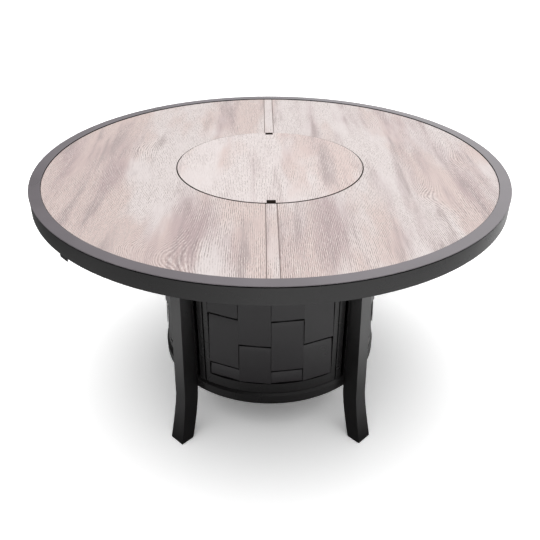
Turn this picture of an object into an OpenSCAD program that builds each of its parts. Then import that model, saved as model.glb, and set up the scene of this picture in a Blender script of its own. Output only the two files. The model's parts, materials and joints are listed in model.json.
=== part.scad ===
// Round fire pit dining table with a lift-off lid, a gas burner and a panelled base with a door.
// Millimetres. The origin is on the floor under the middle of the table, +Z is up and -Y is the front.

/* [Table top] */
// Diameter of the table top over the rim cap
top_d = 1220; // [1180:10:1300]
// Height of the table from the floor to the top of the rim cap
table_h = 735; // [715:5:760]
// Height of the band from the top of the rim cap to the bottom edge of the apron
band_h = 43.5; // [40:0.5:52]
// Width of the flat top face of the rim cap
rim_w = 28.5; // [24:0.5:40]
// Thickness of the rim cap
cap_t = 2; // [2:0.5:5]
// Height of the shadow groove under the rim cap
groove_h = 2.5; // [2:0.5:6]
// Depth of the shadow groove behind the apron face
groove_d = 5; // [3:0.5:6]
// Thickness of the apron wall
apron_t = 2.5; // [2:0.5:4]
// Thickness of the top tiles
tile_t = 9; // [8:1:14]
// Depth of the tile face below the rim cap
tile_drop = 2.5; // [0.5:0.5:3]
// Width of the grout joints between the tiles and the middle strips
joint_gap = 1.5; // [1:0.5:3]
// Distance between the two joints beside a middle strip
strip_w = 26.5; // [20:0.5:40]
// Thickness of the cement board under the tiles
board_t = 6; // [5:1:10]
// Thickness of the steel tray under the board
tray_t = 2; // [1.5:0.5:3]

/* [Lid and fire bowl] */
// Radius of the round opening in the tiles
opening_r = 245.5; // [230:0.5:252]
// Radius of the lid
lid_r = 243; // [220:1:243]
// Height of the lid face above the tile face
lid_rise = 1; // [0:0.5:1.5]
// Width of a finger notch in the lid edge
notch_w = 21; // [18:1:30]
// Depth of a finger notch in the lid edge
notch_depth = 16; // [12:1:20]
// Depth of the fire bowl under its flange
bowl_depth = 57; // [45:1:58]
// Radius of the fire bowl floor
bowl_floor_r = 202; // [190:1:206]
// Thickness of the bowl sheet
bowl_t = 1.5; // [1:0.5:2.5]
// Middle radius of the burner ring
burner_r = 120; // [105:1:124]
// Radius of the burner ring tube
burner_tube_r = 9; // [7:0.5:10]
// Largest radius of a lava rock
rock_r = 14; // [11:0.5:14]

/* [Base] */
// Outer radius of the base frames
base_r = 305; // [296:1:308]
// Height of the bottom of the base above the floor
base_z = 175; // [150:5:200]
// Height of the wall of the lower ring
lower_ring_h = 31; // [28:1:40]
// How far the lower ring stands proud of the frames
ring_band = 4; // [2:0.5:6]
// Height of the wall of the upper ring
upper_ring_h = 40; // [36:1:50]
// Thickness of the ring walls
ring_t = 11; // [10:0.5:14]
// Thickness of the ring flanges and frame plates
flange_t = 3; // [2:0.5:4]
// Half angle of a panel frame, from its middle
frame_half = 38.8; // [38:0.1:39.4]
// Half angle of the door and of the stepped band of the fixed frames
door_half = 35; // [34.5:0.1:35.2]
// Half angle of the slatted window
window_half = 32.3; // [31.5:0.1:32.4]
// Height of the bottom rail of a panel frame
rail_low = 31; // [25:1:45]
// Height of the top rail of a panel frame
rail_top = 18; // [15:1:30]
// Depth of the step between the outer and the inner band of a frame
frame_step = 1.5; // [1:0.5:2.5]

/* [Slats] */
// Height from the bottom edge of one slat to the next in a column
slat_pitch = 157; // [140:1:170]
// Height of the first slat edge above the window bottom
slat_first = 46; // [35:1:60]
// Thickness of a slat
slat_t = 2; // [1.5:0.5:3]
// How far the bottom edge of a slat stands out from its top edge
slat_lean = 6.7; // [4:0.1:7]
// Height of the dark groove between a slat and the one above it
slat_groove = 9; // [5:0.5:14]
// Height of the strip along the top of a slat that folds back
slat_fold = 16; // [10:1:30]
// Height of the dark gap under the lowest slats
slat_sill = 2.5; // [0.5:0.5:4]
// Width of the dark gap between the outer slats and the frame
slat_side = 2; // [0.5:0.5:4]

/* [Legs] */
// Width of a leg across its outer face
leg_w = 40; // [36:1:44]
// Width of the foot of a leg
leg_foot_w = 48; // [44:1:52]
// Depth of a leg at the top
leg_depth = 37.5; // [30:0.5:46]
// How far the outer face of the foot stands out beyond the top of the leg
leg_splay = 35.5; // [28:0.5:50]
// Depth of a leg at the foot
leg_foot_depth = 41; // [36:1:46]
// Wall of the hollow leg
leg_wall = 2.5; // [2:0.5:4]
// Height at which the outer face starts to flare
flare_out_z = 150; // [120:5:190]
// Height at which the inner face starts to flare
flare_in_z = 160; // [120:5:165]
// Thickness of the nylon glides under the feet
glide_t = 2; // [2:0.5:6]
// Width of the steel plate on the inner face of a leg
plate_w = 46; // [44:1:50]
// Thickness of that plate
plate_t = 3.5; // [3:0.5:5]

/* [Controls] */
// Height of the support arms
arm_h = 20; // [18:1:24]
// Width of the support arms
arm_w = 30; // [24:1:32]
// Wall of the support arm tubes
arm_wall = 2; // [1.5:0.5:3]
// Angle from the front left arm to the valve and to the igniter
control_offset = 4.84; // [4.7:0.02:5.3]
// Distance of the knob and the button behind the apron face
knob_inset = 51; // [47:1:57]
// Radius of the control knob
knob_r = 17; // [13:0.5:18]
// How far the knob pushes in
knob_push = 3; // [2:0.5:3]
// How far the igniter button pushes in
button_travel = 4; // [2:0.5:4]
// Outer radius of the gas tube
gas_tube_r = 4.8; // [3.5:0.1:5]

/* [Hidden] */
$fn = 96;
// Clearance between pieces that touch nowhere but sit close
gap = 0.3;
// Clearance of parts that slip into each other
slip = 0.5;
// Radial clearance of a running fit
run = 0.05;
// Clearance around a screw shank
screw_gap = 0.2;
// Distance of a flat screw head from the curved face behind it
head_gap = 0.1;
// Length that cutting tools reach past a face
over = 1;

top_r = top_d / 2;
cap_z = table_h - cap_t;
apron_r = top_r - 1;
apron_z = table_h - band_h;
groove_z = cap_z - groove_h;
apron_flange_t = 2.5;
apron_flange_w = 20;
apron_flange_r = top_r - apron_flange_w;
apron_neck_r = apron_r - groove_d;
hem_w = 4;
tile_r = top_r - rim_w - slip;
tile_z = table_h - tile_drop - tile_t;
board_z = tile_z - board_t;
tray_z = board_z - tray_t;
cap_lip_t = 3;
strip_half = strip_w / 2;

// Lid seat, collar and bowl
collar_t = 1.2;
collar_flange_t = 2;
collar_out = opening_r - gap;
collar_in = collar_out - collar_t;
collar_flange_w = 20;
collar_flange_r = opening_r - collar_flange_w;
bowl_flange_z = board_z + collar_flange_t;
bowl_top_z = bowl_flange_z + bowl_t;
bowl_flange_r = collar_in - 3;
bowl_mouth_r = collar_flange_r - 2;
bowl_floor_z = bowl_top_z - bowl_depth;
bumper_t = 1.2;
bumper_r = 7;
bumper_at = bowl_flange_r - bumper_r - 1;
lid_z = bowl_top_z + gap;
lid_tile_z = tile_z + lid_rise;
lid_back_z = lid_z + bumper_t;
lid_back_r = lid_r - 3;

// Burner
hub_r = 14;
hub_h = 22;
burner_z = bowl_floor_z + bowl_t + 16;
spoke_r = 6.5;
pipe_r = 8;
pipe_drop = 12;
nut_r = 15;
nut_t = 7;
mixer_r = 12;
mixer_h = 26;
mixer_hole_r = 3;
shield_gap = 14;
shield_t = 1.2;
shield_r = 228;
shield_hole_r = 20;
shield_lip = 6;
shield_z = bowl_floor_z - shield_gap - shield_t;
spacer_r = 5;
spacer_at = 165;
electrode_at = burner_r + burner_tube_r + 16;
electrode_r = 4;
electrode_flange_r = 8;

// Base
ring_in = base_r - ring_t;
lower_z = base_z + lower_ring_h;
arm_z = tray_z - arm_h;
upper_top = arm_z;
upper_z = upper_top - upper_ring_h;
flange_w = 30;
frame_depth = 16;
frame_in = base_r - frame_depth;
face_r = base_r - frame_step;
door_depth = 12.5;
door_in = face_r - door_depth;
window_z0 = lower_z + rail_low;
window_z1 = upper_z - rail_top;
door_gap = 1;
door_z0 = lower_z + door_gap;
door_z1 = upper_z - door_gap;
hinge_jamb_az = door_half + 0.55;
latch_jamb_az = door_half + 0.3;
columns = 4;
slat_side_az = atan(slat_side / face_r);
column_step = 2 * (window_half - slat_side_az) / columns;
column_gap = 0.6;
slat_out = face_r - gap;
slat_top_r = slat_out - slat_lean;
slat_fold_r = slat_out - 0.7 * slat_lean;
liner_t = 1.5;
liner_out = slat_top_r - slat_t - gap;
tab_h = 13;
tab_in = frame_in + 1;

// Angles of the frame tabs from the middle of a panel, and half the angle that a tab takes up
tab_az = 20;
tab_half_az = 2;
jamb_tab_az = 37.3;
jamb_tab_half_az = 1.2;

// Legs and their plates
leg_angles = [-45, 45, 135, -135];
plate_sink = 3;
plate_in = base_r - plate_sink;
leg_in = plate_in + plate_t;
leg_out_top = leg_in + leg_depth;
leg_out_foot = leg_out_top + leg_splay;
leg_slope = 0.0274;
leg_slope_z = 490;
leg_steps = 10;
leg_foot_t = 3;
glide_inset = 0.5;
glide_stem_r = 4;
glide_stem_h = 6;
bolt_r = 3;
bolt_head_r = 5;
bolt_head_h = 3.5;
bolt_side = 12;
bolt_len = 18;

// Door pivot, latch and shelf
pivot_az = -33.3;
pivot_r = base_r - 7;
pin_r = 3;
pin_in_ring = 10;
pin_in_door = 12;
washer_r = 6.5;
washer_t = door_gap - gap;
catch_z = (window_z0 + window_z1) / 2;
catch_h = 30;
strike_t = 1.6;
shelf_t = 2.5;
shelf_hole_r = 103;
shelf_collar_h = 10;
shelf_vent_r = 14;
shelf_vent_at = 200;

// Screws
screw_r = 2.4;
screw_head_r = 5;
screw_head_h = 3;
arm_screw_behind_base = 25;
arm_screw_behind_apron = 129;
arm_screws_at = [base_r + arm_screw_behind_base, apron_r - arm_screw_behind_apron];
cap_screw_r = 2;
cap_screw_at = (apron_flange_r + apron_neck_r - apron_t) / 2;

// Control parts on the front left arm
control_az = -45;
valve_az = control_az + control_offset;
igniter_az = control_az - control_offset;
knob_at = apron_r - knob_inset;
panel_t = 2;
panel_z = arm_z - panel_t;
panel_behind_knob = 53;
panel_before_knob = 34;
panel_in = knob_at - panel_behind_knob;
panel_out = knob_at + panel_before_knob;
panel_side = 17;
panel_half_w = knob_at * sin(control_offset) + panel_side;
tongue_turn = 2.8;
tongue_below_apron = 13.5;
tongue_az = control_az - tongue_turn;
tongue_w = 31;
tongue_out = apron_r - apron_t - 2;
tongue_z = apron_z - tongue_below_apron;
valve_w = 26;
valve_h = 16.5;
valve_behind_knob = 48;
valve_before_knob = 18;
valve_in = knob_at - valve_behind_knob;
valve_out = knob_at + valve_before_knob;
stem_r = 4;
knob_h = 22;
knob_z = panel_z - knob_push - slip - knob_h;
stem_in_knob = 8;
inlet_behind_knob = 34;
inlet_at = knob_at - inlet_behind_knob;
inlet_r = 7.9;
inlet_len = 14;
inlet_collar_r = 10.5;
inlet_collar_h = 4;
inlet_shank_r = 7;
button_r = 7;
button_proud = 6.5;
bezel_r = 12;
bezel_h = 3;
igniter_w = 28;
igniter_behind_button = 28;
igniter_before_button = 22;
igniter_in = knob_at - igniter_behind_button;
igniter_out = knob_at + igniter_before_button;
igniter_h = 17;
wire_r = 1.8;
run_z = arm_z + arm_h / 2;
tube_bend = 18;
tube_down_at = ring_in - flange_w - gas_tube_r - 7;
tube_low_z = shield_z - 9;
wire_bend = 10;
wire_down_at = 246;
wire_low_z = bowl_floor_z - 5;

steel = "#3b3a3c";
dark_steel = "#2b2b2c";
tile_color = "#dccdc8";
stainless = "#b8b8b8";

// A solid of revolution from radius r0 to r1 and height z0 to z1
module ring(r0, r1, z0, z1) {
    rotate_extrude() translate([r0, z0]) square([r1 - r0, z1 - z0]);
}

// The same between two angles, which count from the front towards +X
module arc_ring(r0, r1, z0, z1, a0, a1) {
    rotate([0, 0, a0 - 90]) rotate_extrude(angle = a1 - a0) translate([r0, z0]) square([r1 - r0, z1 - z0]);
}

// A box centred across the direction az, from radius r0 to r1
module radial_box(az, r0, r1, w, z0, z1) {
    rotate([0, 0, az]) translate([-w / 2, -r1, z0]) cube([w, r1 - r0, z1 - z0]);
}

// Extrudes an outline of radius and height sideways, centred on the front direction
module radial_extrude(w) {
    rotate([90, 0, -90]) linear_extrude(height = w, center = true) children();
}

// A cylinder along the radius at az, from radius r0 to r1, at height z and sideways offset side
module radial_rod(az, r0, r1, r, z, side = 0) {
    rotate([0, 0, az]) translate([side, -r0, z]) rotate([90, 0, 0]) cylinder(r = r, h = r1 - r0);
}

// A vertical cylinder at azimuth az and radius at
module post(az, at, r, z0, z1) {
    rotate([0, 0, az]) translate([0, -at, z0]) cylinder(r = r, h = z1 - z0);
}

// Table top

module tile_outline(x0, x1) {
    difference() {
        intersection() {
            circle(r = tile_r);
            translate([x0, -top_r]) square([x1 - x0, top_d]);
        }
        circle(r = opening_r);
    }
}

module tile_left() {
    color(tile_color) translate([0, 0, tile_z]) linear_extrude(height = tile_t)
        tile_outline(-top_r, -strip_half - joint_gap / 2);
}

module tile_right() {
    color(tile_color) translate([0, 0, tile_z]) linear_extrude(height = tile_t)
        tile_outline(strip_half + joint_gap / 2, top_r);
}

// One middle strip, on the side of the table where y has the sign given
module strip(side) {
    inner = strip_half - joint_gap / 2;
    color(tile_color) translate([0, 0, tile_z]) linear_extrude(height = tile_t) intersection() {
        tile_outline(-inner, inner);
        translate([-top_r, side < 0 ? -top_r : 0]) square([top_d, top_r]);
    }
}

module backer_board() {
    color("#8f8c86") ring(opening_r, tile_r, board_z, tile_z);
}

module top_tray() {
    color(dark_steel) difference() {
        ring(collar_flange_r, apron_r - apron_t - slip, tray_z, board_z);
        arm_screw_cuts(screw_r + screw_gap);
    }
}

module rim_cap() {
    edge_r = cap_t / 2;
    inner_r = top_r - rim_w;
    color("#8b888c") difference() {
        rotate_extrude() union() {
            translate([inner_r, cap_z]) square([rim_w - edge_r, cap_t]);
            translate([top_r - edge_r, cap_z + edge_r]) circle(r = edge_r);
            translate([inner_r, board_z]) square([cap_lip_t, cap_z - board_z + over]);
        }
        cap_screw_shanks(cap_screw_r + screw_gap, cap_z - over, cap_z + cap_t / 2 + screw_gap);
    }
}

module apron_ring() {
    inner_r = apron_r - apron_t;
    color(steel) difference() {
        union() {
            ring(inner_r, apron_r, apron_z, groove_z);
            ring(inner_r - hem_w + apron_t, inner_r, apron_z, apron_z + apron_t);
            ring(apron_neck_r - apron_t, inner_r, groove_z - apron_t, groove_z);
            ring(apron_neck_r - apron_t, apron_neck_r, groove_z, cap_z);
            ring(apron_flange_r, apron_neck_r - apron_t, cap_z - apron_flange_t, cap_z);
        }
        cap_screw_shanks(cap_screw_r + screw_gap, cap_z - apron_flange_t - over, cap_z + over);
    }
}

module arm_tube(az) {
    difference() {
        radial_box(az, ring_in - flange_w + 4, apron_r - 14, arm_w, arm_z, tray_z);
        radial_box(az, ring_in - flange_w, apron_r, arm_w - 2 * arm_wall,
            arm_z + arm_wall, tray_z - arm_wall);
    }
}

module support_arms() {
    color(dark_steel) difference() {
        for (az = [0 : 45 : 315]) arm_tube(az);
        arm_screw_cuts(screw_r + screw_gap);
        for (at = [control_screws_in, control_screws_out])
            post(control_az, at, screw_r + screw_gap, arm_z - over, arm_z + arm_wall + over);
    }
}

module arm_screw_cuts(r) {
    for (az = [0 : 45 : 315]) for (at = arm_screws_at) post(az, at, r, arm_z - over, board_z + over);
}

module arm_screws() {
    color(stainless) for (az = [0 : 45 : 315]) for (at = arm_screws_at) {
        post(az, at, screw_head_r, arm_z - screw_head_h, arm_z);
        post(az, at, screw_r, arm_z, board_z);
    }
}

module cap_screw_shanks(r, z0, z1) {
    for (az = [22.5 : 45 : 337.5]) post(az, cap_screw_at, r, z0, z1);
}

module cap_screws() {
    under = cap_z - apron_flange_t;
    color(stainless) {
        cap_screw_shanks(cap_screw_r, under, cap_z + cap_t / 2);
        cap_screw_shanks(2 * cap_screw_r, under - cap_screw_r, under);
    }
}

// Lid

module lid_notches(z0, z1) {
    for (side = [-1, 1]) translate([-notch_w / 2, side * lid_r - (side > 0 ? notch_depth : over), z0])
        cube([notch_w, notch_depth + over, z1 - z0]);
}

module lid_tile() {
    color(tile_color) difference() {
        translate([0, 0, lid_tile_z]) cylinder(r = lid_r, h = tile_t);
        lid_notches(lid_tile_z - over, lid_tile_z + tile_t + over);
    }
}

module lid_backing() {
    color(dark_steel) difference() {
        translate([0, 0, lid_back_z]) cylinder(r = lid_back_r, h = lid_tile_z - lid_back_z);
        lid_notches(lid_back_z - over, lid_tile_z + over);
    }
}

module lid_bumpers() {
    color("#1e1e1e") for (az = [45 : 90 : 315]) post(az, bumper_at, bumper_r, lid_z, lid_back_z);
}

// Fire bowl and burner

module burner_collar() {
    color("#3a2c24") union() {
        ring(collar_in, collar_out, board_z, table_h - 2 * tile_drop - over);
        ring(collar_flange_r, collar_in, board_z, bowl_flange_z);
    }
}

module fire_bowl() {
    color("#4b4845") difference() {
        rotate_extrude() polygon([
            [0, bowl_floor_z], [bowl_floor_r, bowl_floor_z], [bowl_mouth_r, bowl_flange_z],
            [bowl_flange_r, bowl_flange_z], [bowl_flange_r, bowl_top_z], [bowl_mouth_r - bowl_t, bowl_top_z],
            [bowl_floor_r - bowl_t, bowl_floor_z + bowl_t], [0, bowl_floor_z + bowl_t]]);
        post(0, 0, pipe_r + screw_gap, bowl_floor_z - over, bowl_floor_z + bowl_t + over);
        post(igniter_az, electrode_at, electrode_r + screw_gap, bowl_floor_z - over,
            bowl_floor_z + bowl_t + over);
    }
}

module burner_ring() {
    color(stainless) union() {
        translate([0, 0, burner_z]) rotate_extrude() translate([burner_r, 0]) circle(r = burner_tube_r);
        translate([0, 0, burner_z - hub_h / 2]) cylinder(r = hub_r, h = hub_h);
        for (az = [0 : 90 : 270]) radial_rod(az, 0, burner_r, spoke_r, burner_z);
        translate([0, 0, bowl_floor_z - pipe_drop])
            cylinder(r = pipe_r, h = burner_z - bowl_floor_z + pipe_drop);
    }
}

module burner_nut() {
    color("#b08d57") difference() {
        translate([0, 0, bowl_floor_z - nut_t]) cylinder(r = nut_r, h = nut_t, $fn = 6);
        translate([0, 0, bowl_floor_z - nut_t - over]) cylinder(r = pipe_r + run, h = nut_t + 2 * over);
    }
}

module air_mixer() {
    mixer_top = bowl_floor_z - pipe_drop;
    color("#b08d57") difference() {
        translate([0, 0, mixer_top - mixer_h]) cylinder(r = mixer_r, h = mixer_h);
        for (az = [45 : 90 : 315])
            radial_rod(az, mixer_r / 2, mixer_r + over, mixer_hole_r, mixer_top - 2 * mixer_hole_r);
    }
}

module spark_electrode() {
    floor_z = bowl_floor_z + bowl_t;
    tip_z = burner_z + burner_tube_r;
    color("#e8e4dc") union() {
        post(igniter_az, electrode_at, electrode_r, bowl_floor_z - 10, burner_z);
        post(igniter_az, electrode_at, electrode_flange_r, floor_z, floor_z + 2);
        post(igniter_az, electrode_at, electrode_r / 3, burner_z, tip_z);
    }
}

module heat_shield() {
    color("#a9a9a6") union() {
        ring(shield_hole_r, shield_r, shield_z, shield_z + shield_t);
        ring(shield_r - shield_t, shield_r, shield_z + shield_t, shield_z + shield_lip);
    }
}

module shield_spacers() {
    color(stainless) for (az = [0 : 90 : 270])
        post(az, spacer_at, spacer_r, shield_z + shield_t, bowl_floor_z);
}

// Corners of a rough rock: an icosahedron with each corner pulled in by its own amount
golden = (1 + sqrt(5)) / 2;
ico_len = sqrt(1 + golden * golden);
ico_points = [for (s = [-1, 1]) for (t = [-golden, golden]) each [[0, s, t], [s, t, 0], [t, 0, s]]];
ico_edge = 2.01;

// Every face is three corners that are one edge apart, listed clockwise as seen from outside
ico_faces = [for (i = [0 : 9]) for (j = [i + 1 : 10]) for (k = [j + 1 : 11])
    let (a = ico_points[i], b = ico_points[j], c = ico_points[k])
    if (norm(a - b) < ico_edge && norm(b - c) < ico_edge && norm(a - c) < ico_edge)
        cross(b - a, c - a) * a > 0 ? [i, k, j] : [i, j, k]];

module rock(at, az, seed) {
    pull = rands(0.78, 1, 12, seed);
    spin = rands(0, 360, 1, seed + 1)[0];
    corners = [for (i = [0 : 11]) ico_points[i] / ico_len * rock_r * pull[i]];
    low = min([for (c = corners) c.z]);
    rotate([0, 0, az]) translate([0, -at, bowl_floor_z + bowl_t + gap - low]) rotate([0, 0, spin])
        polyhedron(points = corners, faces = ico_faces);
}

// Rings of rocks beside the burner ring, thinned where a spoke or the electrode is
module lava_rocks() {
    step = 2 * rock_r + 1;
    inner = burner_r - burner_tube_r - rock_r - 1;
    outer = burner_r + burner_tube_r + rock_r + 2;
    rows = [inner - step, inner, outer, outer + step];
    color("#4a3a34") for (row = [0 : len(rows) - 1]) {
        at = rows[row];
        inside = at < burner_r;
        count = floor(2 * PI * at / step);
        for (i = [0 : count - 1]) {
            az = (i + 0.5) * 360 / count;
            from_spoke = abs(sin(az % 90) * cos(az % 90)) * at;
            off_spoke = min(abs(at * sin(az)), abs(at * cos(az))) > rock_r + spoke_r + 1;
            from_spark = norm([at * sin(az) - electrode_at * sin(igniter_az),
                at * cos(az) - electrode_at * cos(igniter_az)]);
            if ((!inside || off_spoke) && from_spark > rock_r + electrode_flange_r + 1)
                rock(at, az, 100 * row + i);
        }
    }
}

// Controls under the front left of the top

control_screws_in = panel_in + 12;
control_screws_out = panel_out - 10;

module control_panel() {
    color(dark_steel) difference() {
        union() {
            radial_box(control_az, panel_in, panel_out, 2 * panel_half_w, panel_z, arm_z);
            radial_box(tongue_az, panel_out - over, tongue_out, tongue_w, panel_z, arm_z);
            radial_box(tongue_az, tongue_out - panel_t, tongue_out, tongue_w, tongue_z, panel_z + over);
        }
        post(valve_az, knob_at, stem_r + slip, panel_z - over, arm_z + over);
        post(valve_az, inlet_at, inlet_shank_r + slip, panel_z - over, arm_z + over);
        post(igniter_az, knob_at, button_r + 2 + slip, panel_z - over, arm_z + over);
        for (at = [control_screws_in, control_screws_out])
            post(control_az, at, screw_r + screw_gap, panel_z - over, arm_z + over);
    }
}

module control_screws() {
    color(stainless) for (at = [control_screws_in, control_screws_out]) {
        post(control_az, at, screw_head_r, panel_z - screw_head_h, panel_z);
        post(control_az, at, screw_r, panel_z, arm_z + arm_wall);
    }
}

module gas_valve() {
    color("#9c7f4a") difference() {
        radial_box(valve_az, valve_in, valve_out, valve_w, arm_z, arm_z + valve_h);
        post(valve_az, knob_at, stem_r + run, arm_z - over, arm_z + stem_bore);
    }
}

stem_bore = valve_h - 1.5;
stem_top = arm_z + stem_bore - knob_push - slip;

module valve_stem() {
    color(stainless) post(valve_az, knob_at, stem_r, knob_z + knob_h - stem_in_knob, stem_top);
}

module control_knob() {
    flute_r = 3;
    color("#1c1c1c") difference() {
        post(valve_az, knob_at, knob_r, knob_z, knob_z + knob_h);
        post(valve_az, knob_at, stem_r + run, knob_z + knob_h - stem_in_knob - gap, knob_z + knob_h + over);
        for (i = [0 : 11]) rotate([0, 0, valve_az]) translate([0, -knob_at, 0]) rotate([0, 0, 30 * i])
            translate([knob_r + flute_r / 2, 0, knob_z - over]) cylinder(r = flute_r, h = knob_h - 3);
        rotate([0, 0, valve_az]) translate([-1, -knob_at - knob_r + 1, knob_z - over])
            cube([2, knob_r - 4, 1 + over]);
    }
}

module inlet_fitting() {
    collar_z = panel_z - inlet_collar_h;
    color("#b08d57") {
        post(valve_az, inlet_at, inlet_r, collar_z - inlet_len, collar_z);
        post(valve_az, inlet_at, inlet_collar_r, collar_z, panel_z);
        post(valve_az, inlet_at, inlet_shank_r, panel_z, arm_z);
    }
}

// A tube of radius r that leaves radius r_start at height z0, turns down at radius r_down,
// turns in again and ends at radius r_end and height z1
module bent_tube(az, r, r_start, r_down, r_end, z0, z1, bend) {
    radial_rod(az, r_down + bend, r_start, r, z0);
    rotate([0, 0, az]) translate([0, -r_down - bend, z0 - bend]) rotate([90, 0, 90])
        rotate_extrude(angle = 90) translate([bend, 0]) circle(r = r);
    post(az, r_down, r, z1 + bend, z0 - bend);
    rotate([0, 0, az]) translate([0, -r_down + bend, z1 + bend]) rotate([90, 0, 90]) rotate([0, 0, 180])
        rotate_extrude(angle = 90) translate([bend, 0]) circle(r = r);
    radial_rod(az, r_end, r_down - bend, r, z1);
}

module gas_tube() {
    color("#c8c4b8") bent_tube(valve_az, gas_tube_r, valve_in, tube_down_at, mixer_r + gap, run_z - 1,
        tube_low_z, tube_bend);
}

module spark_wire() {
    color("#b03a2e") bent_tube(igniter_az, wire_r, igniter_in, wire_down_at, electrode_at + electrode_r + gap,
        run_z, wire_low_z, wire_bend);
}

module igniter_module() {
    bore_top = arm_z + igniter_h - 2;
    color("#222222") difference() {
        union() {
            radial_box(igniter_az, igniter_in, igniter_out, igniter_w, arm_z, arm_z + igniter_h);
            post(igniter_az, knob_at, button_r + 2, panel_z, arm_z);
            post(igniter_az, knob_at, bezel_r, panel_z - bezel_h, panel_z);
        }
        post(igniter_az, knob_at, button_r + run, panel_z - bezel_h - over, bore_top);
    }
}

module igniter_button() {
    low = panel_z - bezel_h - button_proud;
    color("#b9b9b9") post(igniter_az, knob_at, button_r, low, arm_z + igniter_h - 2 - button_travel - slip);
}

// Legs

// Radius of the outer face of a leg at height z
function leg_out(z) = leg_out_top + leg_slope * max(0, leg_slope_z - z)
    + (leg_out_foot - leg_out_top - leg_slope * leg_slope_z) * pow(max(0, 1 - z / flare_out_z), 1.3);

// Radius of the inner face of a leg at height z
function leg_inner(z) = leg_in
    + (leg_out_foot - leg_foot_depth - leg_in) * pow(max(0, 1 - z / flare_in_z), 1.5);

// Half width of a leg at height z
function leg_half(z) = (leg_w + (leg_foot_w - leg_w) * pow(max(0, 1 - z / flare_out_z), 1.3)) / 2;

// Heights of the outline points, close together where the leg flares
function leg_heights(z0, flare) = [for (i = [0 : leg_steps]) z0 + (flare - z0) * i / leg_steps];

module leg_outline(inset, z0) {
    outer = leg_heights(z0, flare_out_z);
    inner = leg_heights(z0, flare_in_z);
    polygon(concat(
        [for (z = outer) [leg_out(z) - inset, z]],
        [[leg_out(leg_slope_z) - inset, leg_slope_z], [leg_out_top - inset, arm_z]],
        [[leg_in + inset, arm_z]],
        [for (i = [leg_steps : -1 : 0]) [leg_inner(inner[i]) + inset, inner[i]]]));
}

// A leg seen along its radius: straight sides that flare at the foot
module leg_front() {
    heights = leg_heights(glide_t, flare_out_z);
    rotate([90, 0, 0]) linear_extrude(height = leg_out_foot + over) polygon(concat(
        [for (z = heights) [leg_half(z), z]],
        [[leg_w / 2, arm_z], [-leg_w / 2, arm_z]],
        [for (i = [leg_steps : -1 : 0]) [-leg_half(heights[i]), heights[i]]]));
}

module leg(az) {
    foot_mid = leg_out_foot - leg_foot_depth / 2;
    color(steel) difference() {
        rotate([0, 0, az]) intersection() {
            radial_extrude(leg_foot_w) leg_outline(0, glide_t);
            leg_front();
        }
        rotate([0, 0, az]) radial_extrude(leg_w - 2 * leg_wall) leg_outline(leg_wall, glide_t + leg_foot_t);
        radial_box(az, leg_in + leg_wall, leg_out_top - leg_wall, leg_w - 2 * leg_wall, arm_z - over,
            arm_z + over);
        post(az, foot_mid, glide_stem_r + screw_gap, glide_t - over, glide_t + leg_foot_t + over);
        leg_bolt_rods(az, leg_in - over, leg_in + leg_wall + over, bolt_r + screw_gap);
    }
}

module leg_plates() {
    color(dark_steel) difference() {
        for (az = leg_angles) radial_box(az, plate_in, leg_in, plate_w, base_z + flange_t, arm_z - flange_t);
        for (az = leg_angles) leg_bolt_rods(az, plate_in - over, leg_in + over, bolt_r + screw_gap);
    }
}

module foot_glides() {
    pad = leg_foot_depth - 2 * glide_inset;
    foot_mid = leg_out_foot - leg_foot_depth / 2;
    color("#151515") for (az = leg_angles) {
        radial_box(az, foot_mid - pad / 2, foot_mid + pad / 2, leg_foot_w - 2 * glide_inset, 0, glide_t);
        post(az, foot_mid, glide_stem_r, glide_t, glide_t + glide_stem_h);
    }
}

// Heights of the bolts in the lower and the upper ring
bolt_heights = [base_z + lower_ring_h / 2, arm_z - upper_ring_h / 2];

module leg_bolt_rods(az, r0, r1, r) {
    for (z = bolt_heights) for (side = [-bolt_side, bolt_side]) radial_rod(az, r0, r1, r, z, side);
}

module leg_bolts() {
    seat = ring_in - slip;
    color(stainless) for (az = leg_angles) {
        leg_bolt_rods(az, seat - bolt_head_h, seat, bolt_head_r);
        leg_bolt_rods(az, seat, seat + bolt_len, bolt_r);
    }
}

// Rings and shelf

// Flats in a ring for the leg plates and the legs
module leg_pockets(z0, z1) {
    for (az = leg_angles) {
        radial_box(az, plate_in - screw_gap, base_r + ring_band + over, plate_w + 2 * screw_gap, z0, z1);
        leg_bolt_rods(az, ring_in - 2 * over, plate_in, bolt_r + screw_gap);
    }
}

// Blind holes for the frame screws, in the ring wall
module frame_screw_holes() {
    for (az = [-90, 90, 180]) for (side = [-tab_az, tab_az]) for (z = frame_screw_heights)
        radial_rod(az + side, ring_in - over, ring_in + 7, cap_screw_r + screw_gap, z);
    for (side = [-jamb_tab_az, jamb_tab_az]) for (z = frame_screw_heights)
        radial_rod(side, ring_in - over, ring_in + 7, cap_screw_r + screw_gap, z);
}

// Wall of the lower ring: its shoulder slopes from the frames out to the band
module lower_ring_wall() {
    band_r = base_r + ring_band;
    slope = band_r - face_r;
    rotate_extrude() polygon([[ring_in, base_z], [band_r, base_z], [band_r, lower_z - slope],
        [face_r, lower_z], [ring_in, lower_z]]);
}

module lower_ring() {
    color(steel) difference() {
        union() {
            lower_ring_wall();
            ring(ring_in - flange_w, ring_in, base_z, base_z + flange_t);
        }
        leg_pockets(base_z - over, lower_z + over);
        frame_screw_holes();
        post(pivot_az, pivot_r, pin_r + run, lower_z - pin_in_ring, lower_z + over);
    }
}

module upper_ring() {
    color(steel) difference() {
        union() {
            ring(ring_in, base_r, upper_z, upper_top);
            ring(ring_in - flange_w, ring_in, upper_top - flange_t, upper_top);
        }
        leg_pockets(upper_z - over, upper_top + over);
        frame_screw_holes();
        post(pivot_az, pivot_r, pin_r + run, upper_z - over, upper_z + pin_in_ring);
    }
}

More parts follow.
